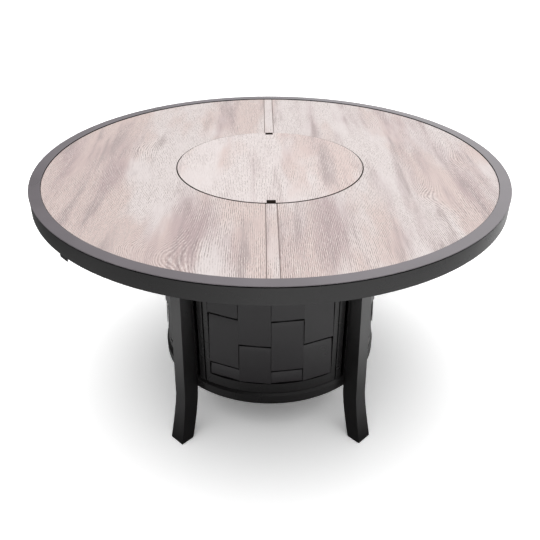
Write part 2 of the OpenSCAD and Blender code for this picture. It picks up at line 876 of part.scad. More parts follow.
module tank_shelf() {
    z0 = base_z + flange_t;
    color(dark_steel) difference() {
        union() {
            ring(shelf_hole_r, ring_in - slip, z0, z0 + shelf_t);
            ring(shelf_hole_r, shelf_hole_r + shelf_t, z0 + shelf_t, z0 + shelf_collar_h);
        }
        for (az = [22.5 : 45 : 337.5]) post(az, shelf_vent_at, shelf_vent_r, z0 - over, z0 + shelf_t + over);
    }
}

// Panels

frame_screw_heights = [lower_z - tab_h / 2, upper_z + tab_h / 2];

// Tabs that reach behind the ring walls, each with its screw hole
module frame_tab(az, half) {
    tab_out = ring_in - screw_gap;
    difference() {
        union() {
            arc_ring(tab_in, tab_out, lower_z - tab_h, lower_z + over, az - half, az + half);
            arc_ring(tab_in, tab_out, upper_z - over, upper_z + tab_h, az - half, az + half);
        }
        for (z = frame_screw_heights)
            radial_rod(az, frame_in - over, tab_out + over, cap_screw_r + screw_gap, z);
    }
}

module fixed_frame(az) {
    color(steel) rotate([0, 0, az]) {
        difference() {
            arc_ring(frame_in, base_r, lower_z, upper_z, -frame_half, frame_half);
            arc_ring(face_r, base_r + over, door_z0, door_z1, -door_half, door_half);
            arc_ring(frame_in - over, base_r + over, window_z0, window_z1, -window_half, window_half);
        }
        for (side = [-tab_az, tab_az]) frame_tab(side, tab_half_az);
    }
}

// Section of a slat whose bottom edge is at height z: it leans back and its top strip folds further
module slat_outline(z) {
    top_z = z + slat_pitch - slat_groove;
    fold_z = top_z - slat_fold;
    polygon([
        [slat_out, z], [slat_fold_r, fold_z], [slat_top_r, top_z],
        [slat_top_r - slat_t, top_z], [slat_fold_r - slat_t, fold_z], [slat_out - slat_t, z]]);
}

// The room of one column: a wedge from the table axis, cut back by half the gap beside it
module column_wedge() {
    half = column_step / 2;
    tip = column_gap / 2 / sin(half);
    reach = base_r;
    translate([0, 0, window_z0 + slat_sill])
        linear_extrude(height = window_z1 - gap - window_z0 - slat_sill)
        polygon([[0, -tip], [-reach * tan(half), -tip - reach], [reach * tan(half), -tip - reach]]);
}

// A column of slats whose first edge is at height first above the window bottom
module slat_column(az, first) {
    count = ceil((window_z1 - window_z0 - first - slat_fold) / slat_pitch);
    rotate([0, 0, az]) intersection() {
        column_wedge();
        for (i = [-1 : count - 1])
            radial_extrude(base_r) slat_outline(window_z0 + first + i * slat_pitch);
    }
}

// The columns of one panel: odd and even columns are half a slat apart
module slats(az, swap) {
    half = slat_pitch / 2;
    color("#454345") for (i = [0 : columns - 1])
        slat_column(az + (i - (columns - 1) / 2) * column_step, slat_first + ((i + swap) % 2) * half);
}

module liner(az) {
    color(dark_steel) arc_ring(liner_out - liner_t, liner_out, window_z0, window_z1,
        az - window_half, az + window_half);
}

module panel_liners() {
    for (az = [-90, 90, 180]) liner(az);
}

// Screw from the inside of the base at az into the ring wall
module frame_screw(az) {
    for (z = frame_screw_heights) {
        radial_rod(az, tab_in - head_gap - cap_screw_r, tab_in - head_gap, 2 * cap_screw_r, z);
        radial_rod(az, tab_in - head_gap, ring_in + 6, cap_screw_r, z);
    }
}

module frame_screws() {
    color(stainless) {
        for (az = [-90, 90, 180]) for (side = [-tab_az, tab_az]) frame_screw(az + side);
        for (side = [-jamb_tab_az, jamb_tab_az]) frame_screw(side);
    }
}

// Door

module door_frame() {
    color(steel) difference() {
        arc_ring(door_in, face_r, door_z0, door_z1, -door_half, door_half);
        arc_ring(door_in - over, face_r + over, window_z0, window_z1, -window_half, window_half);
        post(pivot_az, pivot_r, pin_r + run, door_z0 - over, door_z0 + pin_in_door + gap);
        post(pivot_az, pivot_r, pin_r + run, door_z1 - pin_in_door - gap, door_z1 + over);
    }
}

module door_jambs() {
    color(steel) {
        arc_ring(frame_in, base_r, lower_z, upper_z, -frame_half, -hinge_jamb_az);
        arc_ring(frame_in, base_r, lower_z, upper_z, latch_jamb_az, frame_half);
        for (side = [-jamb_tab_az, jamb_tab_az]) frame_tab(side, jamb_tab_half_az);
    }
}

module pivot_pins() {
    color(stainless) {
        post(pivot_az, pivot_r, pin_r, lower_z - pin_in_ring, door_z0 + pin_in_door);
        post(pivot_az, pivot_r, pin_r, door_z1 - pin_in_door, upper_z + pin_in_ring);
    }
}

module pivot_washer() {
    color("#26262a") difference() {
        post(pivot_az, pivot_r, washer_r, lower_z, lower_z + washer_t);
        post(pivot_az, pivot_r, pin_r + run, lower_z - over, lower_z + washer_t + over);
    }
}

module magnet_catch() {
    color("#2a2a2a") arc_ring(frame_in - 11, frame_in, catch_z - catch_h / 2, catch_z + catch_h / 2,
        window_half + 0.5, frame_half);
}

module strike_plate() {
    color(stainless) arc_ring(door_in - head_gap - strike_t, door_in - head_gap,
        catch_z - catch_h / 2, catch_z + catch_h / 2, window_half + 0.3, door_half - 0.3);
}

tile_left();
tile_right();
strip(-1);  // strip_front
strip(1);  // strip_back
backer_board();
top_tray();
rim_cap();
apron_ring();
support_arms();
arm_screws();
cap_screws();
lid_tile();
lid_backing();
lid_bumpers();
burner_collar();
fire_bowl();
burner_ring();
lava_rocks();
air_mixer();
burner_nut();
spark_electrode();
heat_shield();
shield_spacers();
control_panel();
control_screws();
gas_valve();
valve_stem();
control_knob();
inlet_fitting();
gas_tube();
igniter_module();
igniter_button();
spark_wire();
leg(leg_angles[0]);  // leg_front_left
leg(leg_angles[1]);  // leg_front_right
leg(leg_angles[2]);  // leg_back_right
leg(leg_angles[3]);  // leg_back_left
leg_plates();
foot_glides();
leg_bolts();
upper_ring();
lower_ring();
tank_shelf();
fixed_frame(-90);  // frame_left
fixed_frame(90);  // frame_right
fixed_frame(180);  // frame_back
slats(-90, 0);  // slats_left
slats(90, 1);  // slats_right
slats(180, 0);  // slats_back
panel_liners();
frame_screws();
door_frame();
slats(0, 0);  // door_slats
liner(0);  // door_liner
door_jambs();
pivot_pins();
pivot_washer();
magnet_catch();
strike_plate();
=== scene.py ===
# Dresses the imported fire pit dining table: rounded pieces, node materials, floor, light and camera.
import json
import math

import bmesh
import bpy
from mathutils import Matrix, Vector, noise


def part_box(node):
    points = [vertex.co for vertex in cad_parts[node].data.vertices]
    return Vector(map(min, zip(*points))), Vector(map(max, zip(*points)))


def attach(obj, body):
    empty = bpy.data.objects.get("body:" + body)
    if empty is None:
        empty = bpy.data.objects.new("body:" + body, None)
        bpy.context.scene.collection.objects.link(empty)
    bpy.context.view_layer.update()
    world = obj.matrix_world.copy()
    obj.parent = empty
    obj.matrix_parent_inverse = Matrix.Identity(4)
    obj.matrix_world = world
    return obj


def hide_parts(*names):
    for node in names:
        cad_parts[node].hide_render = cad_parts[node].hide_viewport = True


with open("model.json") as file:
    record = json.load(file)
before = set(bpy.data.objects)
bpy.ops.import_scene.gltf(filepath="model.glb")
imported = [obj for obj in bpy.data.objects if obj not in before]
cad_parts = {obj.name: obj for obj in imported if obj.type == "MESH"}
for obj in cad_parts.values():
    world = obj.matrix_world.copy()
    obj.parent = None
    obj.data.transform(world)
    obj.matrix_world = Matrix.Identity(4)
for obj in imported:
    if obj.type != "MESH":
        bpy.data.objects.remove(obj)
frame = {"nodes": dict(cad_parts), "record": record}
NODES = frame["nodes"]
SLOT_OF = {part["node"]: part["material_slot"] for part in frame["record"]["subparts"]}
BODY_OF = {node: body for body, nodes in frame["record"]["behaviour"]["bodies"].items() for node in nodes}
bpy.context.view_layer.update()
scene = bpy.context.scene


# Camera

# Place in metres, dip, yaw and roll in radians, and lens in millimetres, solved from the photograph
CAM_AT = (-0.0210, -1.6483, 1.3914)
CAM_DIP = 0.5387
CAM_YAW = -0.0131
CAM_ROLL = 0.0022
CAM_LENS = 44.28
CAM_SENSOR = 36


def add_camera():
    """The camera at the photograph's place and angle."""
    data = bpy.data.cameras.new("camera")
    data.sensor_width = CAM_SENSOR
    data.lens = CAM_LENS
    camera = bpy.data.objects.new("camera", data)
    scene.collection.objects.link(camera)
    place = Matrix.Translation(CAM_AT) @ Matrix.Rotation(CAM_YAW, 4, "Z")
    tilt = Matrix.Rotation(math.pi / 2 - CAM_DIP, 4, "X")
    camera.matrix_world = place @ tilt @ Matrix.Rotation(CAM_ROLL, 4, "Z")
    scene.camera = camera


add_camera()


# Node helpers

class Nodes:
    """Short calls for the nodes of a material or a world. Constants stay on the nodes' own sockets."""

    def __init__(self, tree):
        self.tree = tree
        self.tree.nodes.clear()

    def add(self, kind, settings=None, **values):
        """A node with its settings, and its inputs linked or set by name."""
        node = self.tree.nodes.new(kind)
        for key, value in (settings or {}).items():
            setattr(node, key, value)
        for key, value in values.items():
            self.put(node, key.replace("_", " "), value)
        return node

    def put(self, node, key, value):
        """Links an output to an input, or sets the input to a number or a colour."""
        if isinstance(value, bpy.types.NodeSocket):
            self.tree.links.new(value, node.inputs[key])
        else:
            node.inputs[key].default_value = value

    def math(self, operation, *values):
        """One sum or other operation on numbers."""
        node = self.add("ShaderNodeMath", {"operation": operation})
        for i, value in enumerate(values):
            self.put(node, i, value)
        return node.outputs[0]

    def vector_math(self, operation, *values, output="Value"):
        """One operation on vectors."""
        node = self.add("ShaderNodeVectorMath", {"operation": operation})
        for i, value in enumerate(values):
            self.put(node, i, value)
        return node.outputs[output]

    def split(self, vector):
        """The X, Y and Z of a vector."""
        return self.add("ShaderNodeSeparateXYZ", Vector=vector).outputs

    def span(self, value, low, high, at_low, at_high, smooth=False):
        """Goes from at_low to at_high as a value goes from low to high, and stays there outside."""
        kind = "SMOOTHSTEP" if smooth else "LINEAR"
        node = self.add("ShaderNodeMapRange", {"interpolation_type": kind}, Value=value,
                        From_Min=low, From_Max=high, To_Min=at_low, To_Max=at_high)
        return node.outputs[0]

    def blend(self, share, first, second):
        """Two shaders mixed by a share."""
        node = self.add("ShaderNodeMixShader")
        for i, value in enumerate((share, first, second)):
            self.put(node, i, value)
        return node.outputs[0]


class Shader(Nodes):
    """A material with a Principled shader, placed by the object's own coordinates in metres."""

    def __init__(self, name, **values):
        self.material = bpy.data.materials.new(name)
        self.material.use_nodes = True
        super().__init__(self.material.node_tree)
        self.bsdf = self.add("ShaderNodeBsdfPrincipled", **values)
        self.add("ShaderNodeOutputMaterial", Surface=self.bsdf.outputs[0])
        self.coord = self.add("ShaderNodeTexCoord").outputs["Object"]

    def set(self, **values):
        """Links or sets inputs of the Principled shader by name."""
        for key, value in values.items():
            self.put(self.bsdf, key.replace("_", " "), value)

    def place(self, scale, at=(0, 0, 0), vector=None):
        """A place on the surface, scaled along each axis and shifted."""
        return self.add("ShaderNodeMapping", Vector=vector or self.coord, Scale=scale, Location=at).outputs[0]

    def noise(self, vector, scale, detail=2.0, rough=0.5, distort=0.0):
        """Noise from about 0 to 1 with a number of spots per metre."""
        return self.add("ShaderNodeTexNoise", Vector=vector, Scale=scale, Detail=detail, Roughness=rough,
                        Distortion=distort).outputs[0]

    def streaks(self, per_m, detail=2.0, rough=0.5, distort=0.0, at=(0, 0, 0), vector=None):
        """Noise with its own number of spots per metre along each axis."""
        return self.noise(self.place(per_m, at, vector), 1.0, detail, rough, distort)

    def mix(self, share, first, second):
        """Two colours mixed by a share."""
        node = self.add("ShaderNodeMix", {"data_type": "RGBA"})
        self.put(node, 0, share)
        self.put(node, 6, (*first, 1) if isinstance(first, tuple) else first)
        self.put(node, 7, (*second, 1) if isinstance(second, tuple) else second)
        return node.outputs[2]

    def bump(self, height, strength, distance):
        """A relief of the surface, distance deep in metres where the height is 1 and the strength is 1."""
        node = self.add("ShaderNodeBump", Height=height, Strength=strength, Distance=distance)
        self.set(Normal=node.outputs[0])


def shade(colour, factor):
    """A colour made darker or lighter by a factor."""
    return tuple(channel * factor for channel in colour)


# Plain finishes

# Range that most noise values lie in, and the narrower ranges that spread the colours of coats and spots
MOST_NOISE = (0.3, 0.7)
TONE_SPAN = (0.35, 0.65)
SPOT_SPAN = (0.36, 0.64)
# Spots per metre of the slow change in a coat and of the clouds in bare metal
COAT_SPOTS = 5.0
METAL_CLOUDS = 12.0
# How dark and how pale a coat gets, and how dark metal gets, as shares of the colour
COAT_DARK = 0.86
COAT_PALE = 1.14
METAL_DARK = 0.78
# How far the roughness goes down and up from its value, in a coat, in bare metal and in a spotted surface
COAT_ROUGH = (-0.04, 0.05)
METAL_ROUGH = (-0.06, 0.1)
SPOT_ROUGH = (-0.05, 0.07)
# Height of a coat's orange peel and of metal's brush marks in metres, and strength of the marks
PEEL_H = 0.0006
BRUSH_H = 0.0005
BRUSH_DEPTH = 0.08


def powder(name, colour, rough, grain=900, depth=0.12, gloss=0.5):
    """Powder coat: a fine orange peel in the bump, and a slow change of colour and roughness."""
    shader = Shader(name, Specular_IOR_Level=gloss)
    slow = shader.noise(shader.coord, COAT_SPOTS, 3.0)
    tone = shader.span(slow, *TONE_SPAN, 0, 1)
    shader.set(Base_Color=shader.mix(tone, shade(colour, COAT_DARK), shade(colour, COAT_PALE)),
               Roughness=shader.span(slow, *MOST_NOISE, rough + COAT_ROUGH[0], rough + COAT_ROUGH[1]))
    shader.bump(shader.noise(shader.coord, grain), depth, PEEL_H)
    return shader.material


def brushed(name, colour, rough, stretch=(40, 40, 900)):
    """Brushed or rolled metal: fine streaks in the colour, the roughness and the bump."""
    shader = Shader(name, Metallic=1.0)
    streak = shader.streaks(stretch, 3.0)
    cloud = shader.noise(shader.coord, METAL_CLOUDS, 3.0)
    tone = shader.math("MULTIPLY", streak, cloud)
    shader.set(Base_Color=shader.mix(tone, shade(colour, METAL_DARK), colour),
               Roughness=shader.span(streak, *MOST_NOISE, rough + METAL_ROUGH[0], rough + METAL_ROUGH[1]))
    shader.bump(streak, BRUSH_DEPTH, BRUSH_H)
    return shader.material


def mottled(name, dark, light, rough, scale, depth, distance=0.001):
    """A rough or cast surface with spots of two colours."""
    shader = Shader(name)
    spots = shader.noise(shader.coord, scale, 6.0, 0.62)
    shader.set(Base_Color=shader.mix(shader.span(spots, *SPOT_SPAN, 0, 1), dark, light),
               Roughness=shader.span(spots, *MOST_NOISE, rough + SPOT_ROUGH[0], rough + SPOT_ROUGH[1]))
    shader.bump(spots, depth, distance)
    return shader.material


# Wood print of the tiles

# Width of a printed plank in metres, and how much its tone differs from the next
PLANK_W = 0.155
PLANK_TONE = 0.05
# Spots per metre of each noise of the print: across the planks, along them, and through the tile
BEND = (2.6, 0.9, 1.0)
WAVER = (75, 21, 1)
STREAK = (25.0, 3.0, 1.0)
BROAD = (9.0, 1.8, 1.0)
WARM = (8.0, 2.0, 1.0)
FIBRES = (420, 38, 1)
CLEARING = (13, 5, 1)
DASH = (300, 85, 1)
# Shifts that keep the broad and the warm noise apart from the others
BROAD_AT = (4.7, 1.3, 0)
WARM_AT = (1.9, 7.7, 0)
# Noise values between which each layer of the print comes in, and the most that a layer covers
WARM_SPAN = (0.42, 0.60)
MAUVE_SPAN = (0.40, 0.66)
TAUPE_SPAN = (0.55, 0.70)
TAUPE_MOST = 0.6
FIBRE_SPAN = (0.35, 0.72)
FIBRE_MOST = 0.25
CLEAR_SPAN = (0.32, 0.54)
DASH_SPAN = (0.40, 0.58)
# Grain lines per metre across the planks, and how many lines the slow bends and the fine waver shift them
LINES_PER_M = 250.0
BEND_LINES = 9.0
WAVER_LINES = 1.3
# Parts of a line's wave that are dark and pale, and how strongly both show
DARK_WAVE = (0.0, 0.9)
PALE_WAVE = (-0.1, -0.9)
LINE_STRENGTH = 0.72
# How much longer than wide a knot is
KNOT_LENGTH = 1.6
# Knots of the print: x and y of the middle, radius in metres, and how many lines swell round it
KNOTS = (
    (-0.318, -0.447, 0.050, 15.0),
    (-0.235, -0.500, 0.065, 16.0),
    (-0.390, 0.115, 0.060, 12.0),
    (0.350, -0.215, 0.060, 15.0),
    (0.300, 0.290, 0.065, 13.0),
    (0.455, 0.030, 0.050, 10.0),
)
# How mauve the print is: share of the fine streaks, of the broad ones, and everywhere
MAUVE_STREAK = 0.50
MAUVE_BROAD = 0.30
MAUVE_LEAST = 0.040
# Mauve patches of the print: x and y of the middle, half width, half length, and strength
MAUVE_PATCHES = (
    (-0.398, -0.086, 0.036, 0.120, 0.15),
    (-0.386, 0.146, 0.030, 0.120, 0.09),
    (-0.545, 0.040, 0.030, 0.160, 0.08),
    (-0.400, -0.330, 0.060, 0.080, 0.08),
    (-0.180, -0.340, 0.048, 0.170, 0.13),
    (0.120, -0.360, 0.050, 0.170, 0.15),
    (-0.086, -0.440, 0.030, 0.090, 0.08),
    (0.290, -0.430, 0.050, 0.070, 0.07),
    (0.377, -0.086, 0.025, 0.130, 0.09),
    (0.490, -0.170, 0.050, 0.120, 0.07),
    (0.270, -0.170, 0.030, 0.130, 0.05),
    (0.280, 0.380, 0.060, 0.110, 0.07),
    (-0.130, 0.360, 0.035, 0.140, 0.07),
    (-0.390, 0.330, 0.040, 0.070, 0.05),
    (0.420, 0.300, 0.030, 0.100, 0.05),
    (0.100, 0.500, 0.030, 0.090, 0.05),
    (-0.317, -0.090, 0.030, 0.180, -0.12),
    (0.446, -0.110, 0.010, 0.160, -0.08),
    (0.290, 0.100, 0.050, 0.100, -0.07),
    (-0.260, -0.030, 0.030, 0.150, -0.06),
)
# Warm patches of the print, given in the same way
WARM_PATCHES = (
    (-0.500, -0.080, 0.130, 0.330, 0.16),
    (-0.330, -0.440, 0.120, 0.110, 0.10),
    (0.000, -0.500, 0.200, 0.110, 0.05),
    (0.300, 0.050, 0.160, 0.330, -0.09),
    (-0.270, 0.050, 0.060, 0.260, -0.09),
)
# Colours of the print, and of the body of a tile
CREAM = (0.805, 0.735, 0.722)
PINK = (0.720, 0.590, 0.555)
MAUVE = (0.510, 0.395, 0.400)
TAUPE = (0.40, 0.335, 0.33)
FIBRE = (0.50, 0.415, 0.40)
LINE_DARK = (0.27, 0.205, 0.195)
LINE_LIGHT = (0.88, 0.805, 0.77)
TILE_BODY = (0.060, 0.046, 0.038)
# How far the normal points up where the print ends and where it is full
PRINT_EDGE = (0.55, 0.85)
# Roughness of the print, strength and height of its relief, and what its lines and fibres add to it
PRINT_ROUGH = (0.44, 0.56)
RELIEF = 0.25
RELIEF_H = 0.0006
LINE_RELIEF = -0.8
FIBRE_RELIEF = 0.3


class Print(Shader):
    """A tile material with a shifted print, so that lid and strips don't continue the tiles' grain."""

    def __init__(self, name, shift):
        super().__init__(name, Specular_IOR_Level=0.30)
        self.here = self.place((1, 1, 1), at=shift)
        self.x, self.y = self.split(self.here)[:2]

    def ellipse(self, at_x, at_y, half_x, half_y):
        """Squared distance from a point of the print: 1 on the ellipse with the given half axes."""
        across = self.math("DIVIDE", self.math("SUBTRACT", self.x, at_x), half_x)
        along = self.math("DIVIDE", self.math("SUBTRACT", self.y, at_y), half_y)
        return self.math("ADD", self.math("MULTIPLY", across, across), self.math("MULTIPLY", along, along))

    def patches(self, value, spots):
        """A value with soft patches added: full strength in the middle, half on the ellipse."""
        for at_x, at_y, half_x, half_y, strength in spots:
            far = self.ellipse(at_x, at_y, half_x, half_y)
            fade = self.math("ADD", self.math("MULTIPLY", far, far), 1.0)
            value = self.math("ADD", value, self.math("DIVIDE", strength, fade))
        return value

    def grain_lines(self):
        """How many grain lines a point is from x = 0: straight along Y, bent, and closed round the knots."""
        bend = self.streaks(BEND, 1.0, 0.4, vector=self.here)
        waver = self.streaks(WAVER, vector=self.here)
        field = self.math("MULTIPLY", self.x, LINES_PER_M)
        field = self.math("ADD", field, self.math("MULTIPLY", bend, BEND_LINES))
        field = self.math("ADD", field, self.math("MULTIPLY", waver, WAVER_LINES))
        for at_x, at_y, radius, lines in KNOTS:
            far = self.ellipse(at_x, at_y, radius, radius * KNOT_LENGTH)
            field = self.math("ADD", field, self.math("DIVIDE", lines, self.math("ADD", far, 1.0)))
        return field

    def mauve(self, streak):
        """How mauve the print is at a point, from soft streaks, the plank and the patches."""
        plank = self.math("FLOOR", self.math("DIVIDE", self.x, PLANK_W))
        tone = self.add("ShaderNodeTexWhiteNoise", {"noise_dimensions": "1D"}, W=plank).outputs[0]
        broad = self.streaks(BROAD, at=BROAD_AT, vector=self.here)
        streaks = self.math("MULTIPLY", streak, MAUVE_STREAK)
        value = self.math("ADD", streaks, self.math("MULTIPLY", broad, MAUVE_BROAD))
        value = self.math("ADD", value, MAUVE_LEAST)
        value = self.math("ADD", value, self.math("MULTIPLY", self.math("SUBTRACT", tone, 0.5), PLANK_TONE))
        return self.patches(value, MAUVE_PATCHES)

    def warmth(self):
        """How warm the print is at a point."""
        return self.patches(self.streaks(WARM, 3.0, 0.55, at=WARM_AT, vector=self.here), WARM_PATCHES)

    def dashes(self):
        """Where grain lines show: they fade in and out, and break up into short dashes."""
        clear = self.streaks(CLEARING, 4.0, 0.6, vector=self.here)
        short = self.streaks(DASH, 2.0, 0.6, vector=self.here)
        return self.math("MULTIPLY", self.span(clear, *CLEAR_SPAN, 0.0, 1.0, smooth=True),
                         self.span(short, *DASH_SPAN, 0.0, 1.0))


def wood_print(name, shift, tint=1.0):
    """Porcelain tile with a whitewashed wood print on its face and a dark body at its cut edges."""
    shader = Print(name, shift)
    streak = shader.streaks(STREAK, 4.0, 0.55, 0.3, vector=shader.here)
    fibre = shader.streaks(FIBRES, 4.0, 0.65, vector=shader.here)
    wave = shader.math("SINE", shader.math("MULTIPLY", shader.grain_lines(), 2 * math.pi))
    shown = shader.dashes()
    line = shader.math("MULTIPLY", shader.span(wave, *DARK_WAVE, 0.0, 1.0, smooth=True), shown)
    pale = shader.math("MULTIPLY", shader.span(wave, *PALE_WAVE, 0.0, 1.0, smooth=True), shown)
    layers = (
        (PINK, shader.span(shader.warmth(), *WARM_SPAN, 0.0, 1.0, smooth=True)),
        (MAUVE, shader.span(shader.mauve(streak), *MAUVE_SPAN, 0.0, 1.0, smooth=True)),
        (TAUPE, shader.span(streak, *TAUPE_SPAN, 0.0, TAUPE_MOST, smooth=True)),
        (FIBRE, shader.span(fibre, *FIBRE_SPAN, 0.0, FIBRE_MOST)),
        (LINE_DARK, shader.math("MULTIPLY", line, LINE_STRENGTH)),
        (LINE_LIGHT, shader.math("MULTIPLY", pale, LINE_STRENGTH)),
    )
    face = shade(CREAM, tint)
    for colour, share in layers:
        face = shader.mix(share, face, shade(colour, tint))
    upright = shader.split(shader.add("ShaderNodeTexCoord").outputs["Normal"])[2]
    shader.set(Base_Color=shader.mix(shader.span(upright, *PRINT_EDGE, 0.0, 1.0), TILE_BODY, face),
               Roughness=shader.span(fibre, *MOST_NOISE, *PRINT_ROUGH))
    lines = shader.math("MULTIPLY", line, LINE_RELIEF)
    shader.bump(shader.math("ADD", lines, shader.math("MULTIPLY", fibre, FIBRE_RELIEF)), RELIEF, RELIEF_H)
    return shader.material


# Finishes of this table

BLACK_COAT = (0.0095, 0.0087, 0.0091)
MATS = {
    "powder_coat": powder("powder_coat", BLACK_COAT, 0.27),
    "leg_coat": powder("leg_coat", BLACK_COAT, 0.30, gloss=0.9),
    # The rim cap's coat is the black coat in a far paler grey: painted reflection of the pale surroundings on
    # its top
    "cap_coat": powder("cap_coat", (0.152, 0.134, 0.148), 0.30, depth=0.08, gloss=1.0),
    "slat_coat": powder("slat_coat", (0.0150, 0.0125, 0.0150), 0.29),
    "hidden_steel": powder("hidden_steel", (0.014, 0.014, 0.0145), 0.55),
    "porcelain_tile": wood_print("porcelain_tile", (0.0, 0.0, 0.0)),
    "lid_print": wood_print("lid_print", (3.37, 1.21, 0.0), 1.06),
    "strip_print": wood_print("strip_print", (5.03, 2.4, 0.0), 1.01),
    "cement_board": mottled("cement_board", (0.26, 0.255, 0.24), (0.36, 0.35, 0.33), 0.9, 60, 0.4),
    "collar_steel": powder("collar_steel", (0.040, 0.022, 0.014), 0.45),
    "bowl_steel": mottled("bowl_steel", (0.035, 0.032, 0.030), (0.055, 0.050, 0.047), 0.6, 45, 0.12),
    "grout": mottled("grout", (0.30, 0.235, 0.22), (0.38, 0.30, 0.285), 0.9, 400, 0.3),
    "stainless": brushed("stainless", (0.60, 0.60, 0.59), 0.32),
    "zinc_screw": brushed("zinc_screw", (0.52, 0.52, 0.53), 0.38, stretch=(300, 300, 300)),
    "brass": brushed("brass", (0.62, 0.43, 0.17), 0.32, stretch=(60, 60, 500)),
    "aluminised": brushed("aluminised", (0.62, 0.62, 0.61), 0.42, stretch=(25, 500, 25)),
    "lava_rock": mottled("lava_rock", (0.035, 0.026, 0.023), (0.12, 0.080, 0.066), 0.95, 190, 1.0, 0.004),
    "porcelain": mottled("porcelain", (0.78, 0.76, 0.71), (0.84, 0.82, 0.78), 0.18, 90, 0.03),
    "black_plastic": powder("black_plastic", (0.018, 0.018, 0.018), 0.5, grain=1400),
    "chrome": brushed("chrome", (0.72, 0.72, 0.73), 0.12, stretch=(200, 200, 200)),
    # Near black for the disc in each burner port: painted shade of the open hole
    "painted_hole_shade": powder("painted_hole_shade", (0.004, 0.004, 0.004), 0.9, gloss=0.1),
    "silicone": powder("silicone", (0.42, 0.035, 0.02), 0.45),
    "black_rubber": powder("black_rubber", (0.008, 0.008, 0.008), 0.8, grain=600, depth=0.3, gloss=0.15),
    "nylon": powder("nylon", (0.018, 0.018, 0.019), 0.45),
}
LEGS = ("leg_front_left", "leg_front_right", "leg_back_left", "leg_back_right")
# Nodes whose finish differs a little from the rest of their slot
OWN_FINISH = {"lid_tile": "lid_print", "strip_front": "strip_print", "strip_back": "strip_print"}
OWN_FINISH.update({leg: "leg_coat" for leg in LEGS})


def finish_of(node):
    """The material of a CAD node: its own, or that of its slot."""
    return MATS[OWN_FINISH.get(node, SLOT_OF[node])]


def paint(obj, material):
    """Gives an object one material."""
    obj.data.materials.clear()
    obj.data.materials.append(material)


for node, obj in NODES.items():
    paint(obj, finish_of(node))


# Making pieces

# Distance within which corners of a CAD mesh are one, in metres
MERGE = 1e-6
# Angle below which two faces are one flat face, and angle above which an edge is sharp
FLAT = math.radians(0.4)
SHARP = math.radians(32)
EDGE_SEGMENTS = 2
EDGE_PROFILE = 0.5
# How much more a large face counts than a small one in the smooth shading
NORMAL_WEIGHT = 80


def shape_of(node):
    """A CAD node's mesh as a bmesh in the shared frame, with split corners merged and flat faces joined."""
    source = NODES[node]
    shape = bmesh.new()
    corners = [shape.verts.new(source.matrix_world @ corner.co) for corner in source.data.vertices]
    for face in source.data.polygons:
        shape.faces.new([corners[i] for i in face.vertices])
    bmesh.ops.remove_doubles(shape, verts=shape.verts, dist=MERGE)
    bmesh.ops.dissolve_limit(shape, angle_limit=FLAT, verts=shape.verts, edges=shape.edges)
    return shape


def piece(name, shape, body, material):
    """Turns a bmesh into a piece that rides on a body and takes its finish from a slot."""
    mesh = bpy.data.meshes.new(name)
    shape.to_mesh(mesh)
    shape.free()
    obj = bpy.data.objects.new(name, mesh)
    scene.collection.objects.link(obj)
    paint(obj, material)
    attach(obj, body)
    return obj


def stand_in(shape, node):
    """A piece with smooth shading that takes the place of a CAD node."""
    for face in shape.faces:
        face.smooth = True
    obj = piece(node + "_piece", shape, BODY_OF[node], finish_of(node))
    obj.modifiers.new("normals", "WEIGHTED_NORMAL").weight = NORMAL_WEIGHT
    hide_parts(node)


def soften(shape, width):
    """Rounds the sharp outer edges of a bmesh. Inner corners stay, because other parts slide in some."""
    outer = [edge for edge in shape.edges if edge.is_manifold and edge.is_convex]
    sharp = [edge for edge in outer if edge.calc_face_angle() > SHARP]
    bmesh.ops.bevel(shape, geom=sharp, offset=width, segments=EDGE_SEGMENTS, profile=EDGE_PROFILE,
                    affect="EDGES", clamp_overlap=True)


# Rounded edges

# Width of the rounding in metres, for each node that shows
EDGE_WIDTH = {
    "tile_left": 0.0009, "tile_right": 0.0009, "strip_front": 0.0007, "strip_back": 0.0007,
    "lid_tile": 0.0009, "rim_cap": 0.0005, "apron_ring": 0.0008,
    "burner_collar": 0.0004, "lid_backing": 0.0002,
    "leg_front_left": 0.0016, "leg_front_right": 0.0016, "leg_back_left": 0.0016, "leg_back_right": 0.0016,
    "leg_plates": 0.0006, "foot_glides": 0.0004, "upper_ring": 0.0009, "lower_ring": 0.0012,
    "frame_left": 0.0009, "frame_right": 0.0009, "frame_back": 0.0009,
    "door_frame": 0.0009, "door_jambs": 0.0009,
    "slats_left": 0.0006, "slats_right": 0.0006, "slats_back": 0.0006, "door_slats": 0.0006,
    "support_arms": 0.0010, "control_panel": 0.0005, "tank_shelf": 0.0006, "fire_bowl": 0.0004,
    "control_knob": 0.0006, "igniter_button": 0.0009, "igniter_module": 0.0006, "gas_valve": 0.0009,
    "magnet_catch": 0.0010, "burner_nut": 0.0006, "inlet_fitting": 0.0005, "air_mixer": 0.0006,
}


def edged(node, width):
    """The CAD node with its sharp edges rounded, in place of the node."""
    shape = shape_of(node)
    soften(shape, width)
    stand_in(shape, node)


for node, width in EDGE_WIDTH.items():
    edged(node, width)


# Screw heads

SCREWS = ("arm_screws", "cap_screws", "control_screws", "frame_screws")
# Width of the rounding of a head in metres
SCREW_EDGE = 0.0003
# Corner radius and depth of the hexagon socket, as shares of the head's radius
SOCKET_R = 0.52
SOCKET_DEEP = 0.36
SOCKET_SIDES = 6
# A round head's face has more corners than this
ROUND_CORNERS = 8


def islands(shape):
    """The separate solids of a bmesh, each as a list of faces."""
    found, seen = [], set()
    for start in shape.faces:
        if start in seen:
            continue
        seen.add(start)
        group, queue = [], [start]
        while queue:
            face = queue.pop()
            group.append(face)
            for edge in face.edges:
                for other in edge.link_faces:
                    if other not in seen:
                        seen.add(other)
                        queue.append(other)
        found.append(group)
    return found


